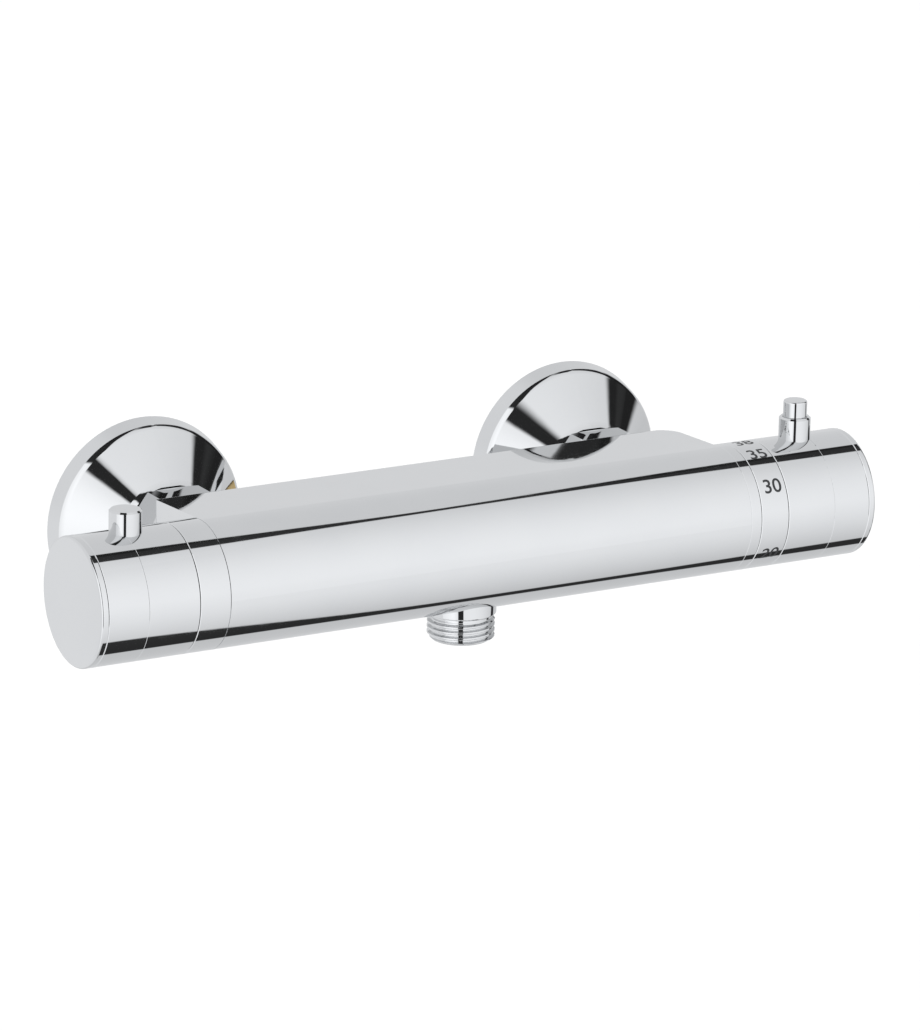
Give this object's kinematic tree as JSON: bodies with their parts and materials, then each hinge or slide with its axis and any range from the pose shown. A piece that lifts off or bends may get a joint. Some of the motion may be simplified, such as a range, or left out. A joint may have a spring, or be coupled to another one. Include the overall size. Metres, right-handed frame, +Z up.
{
  "type": "thermostatic shower valve",
  "caption": "Exposed chrome thermostatic shower bar valve with a flow handle, a temperature handle with safety button, wall unions and a threaded hose outlet.",
  "frame": {"origin": "on the wall face, midway between the two threaded inlet tails", "axes": "+X to the right along the bar, +Y into the wall along the inlet tails, +Z up"},
  "size_m": [0.2708, 0.113, 0.065],
  "materials": {
    "chrome": "polished chrome plate on brass",
    "brass": "machined brass",
    "rubber": "black nitrile rubber",
    "stainless": "drawn and pressed stainless steel",
    "ceramic": "lapped white ceramic",
    "plastic": "moulded white engineering plastic"
  },
  "bodies": {
    "fixed_valve": {"valve_body": "chrome", "outlet_nipple": "chrome", "outlet_seal": "rubber", "left_collar": "chrome", "flow_stop_ring": "plastic", "flow_cartridge_housing": "brass", "flow_fixed_disc": "ceramic", "flow_disc_seal": "rubber", "flow_housing_seal": "rubber", "narrow_ring": "chrome", "number_ring": "chrome", "safety_stop_ring": "plastic", "thermostat_housing": "brass", "thermostat_seals": "rubber", "thermostat_base": "brass", "temperature_housing_seal": "rubber", "return_spring": "stainless", "s_union_left": "brass", "rosette_left": "chrome", "union_washer_left": "rubber", "strainer_left": "stainless", "inlet_nipple_left": "brass", "union_nut_left": "chrome", "check_valve_shell_left": "plastic", "check_valve_spring_left": "stainless", "s_union_right": "brass", "rosette_right": "chrome", "union_washer_right": "rubber", "strainer_right": "stainless", "inlet_nipple_right": "brass", "union_nut_right": "chrome", "check_valve_shell_right": "plastic", "check_valve_spring_right": "stainless"},
    "flow_handle": {"flow_handle_sleeve": "chrome", "flow_lever": "chrome", "flow_lever_nut": "brass", "flow_end_cap": "chrome", "flow_spline_insert": "plastic", "flow_handle_screw": "stainless", "flow_spindle": "brass", "flow_spindle_seal": "rubber", "flow_moving_disc": "ceramic"},
    "temperature_handle": {"temperature_handle_sleeve": "chrome", "temperature_lever": "chrome", "temperature_lever_nut": "brass", "temperature_end_cap": "chrome", "temperature_spline_insert": "plastic", "temperature_handle_screw": "stainless", "temperature_spindle": "brass", "temperature_spindle_seal": "rubber", "button_spring": "stainless"},
    "safety_button": {"safety_button": "chrome"},
    "thermostat_shuttle": {"shuttle": "plastic", "wax_element": "brass", "drive_nut": "brass"},
    "left_check_poppet": {"check_valve_poppet_left": "plastic"},
    "right_check_poppet": {"check_valve_poppet_right": "plastic"}
  },
  "joints": [
    {"name": "flow_turn", "type": "hinge", "parent": "fixed_valve", "child": "flow_handle", "pos_m": [-0.09, -0.069, 0.01], "axis": [1, 0, 0], "range_deg": [0, 90]},
    {"name": "temperature_turn", "type": "hinge", "parent": "fixed_valve", "child": "temperature_handle", "pos_m": [0.092, -0.069, 0.01], "axis": [1, 0, 0], "range_deg": [-50, 125]},
    {"name": "safety_button_press", "type": "slide", "parent": "temperature_handle", "child": "safety_button", "axis": [0, 0, -1], "range_m": [0, 0.0022], "stiffness_N_per_m": 150, "springref_m": -0.002, "deforming": ["button_spring"]},
    {"name": "thermostat_slide", "type": "slide", "parent": "fixed_valve", "child": "thermostat_shuttle", "axis": [1, 0, 0], "range_m": [-0.0008, 0.0005], "deforming": ["return_spring"]},
    {"name": "hot_check_valve_open", "type": "slide", "parent": "fixed_valve", "child": "left_check_poppet", "axis": [0, -1, 0], "range_m": [0, 0.0025], "stiffness_N_per_m": 20, "springref_m": -0.003, "deforming": ["check_valve_spring_left"]},
    {"name": "cold_check_valve_open", "type": "slide", "parent": "fixed_valve", "child": "right_check_poppet", "axis": [0, -1, 0], "range_m": [0, 0.0025], "stiffness_N_per_m": 20, "springref_m": -0.003, "deforming": ["check_valve_spring_right"]}
  ],
  "couplings": [
    {"joint": "thermostat_slide", "follows": "temperature_turn", "m_per_rad": -0.00031831}
  ]
}
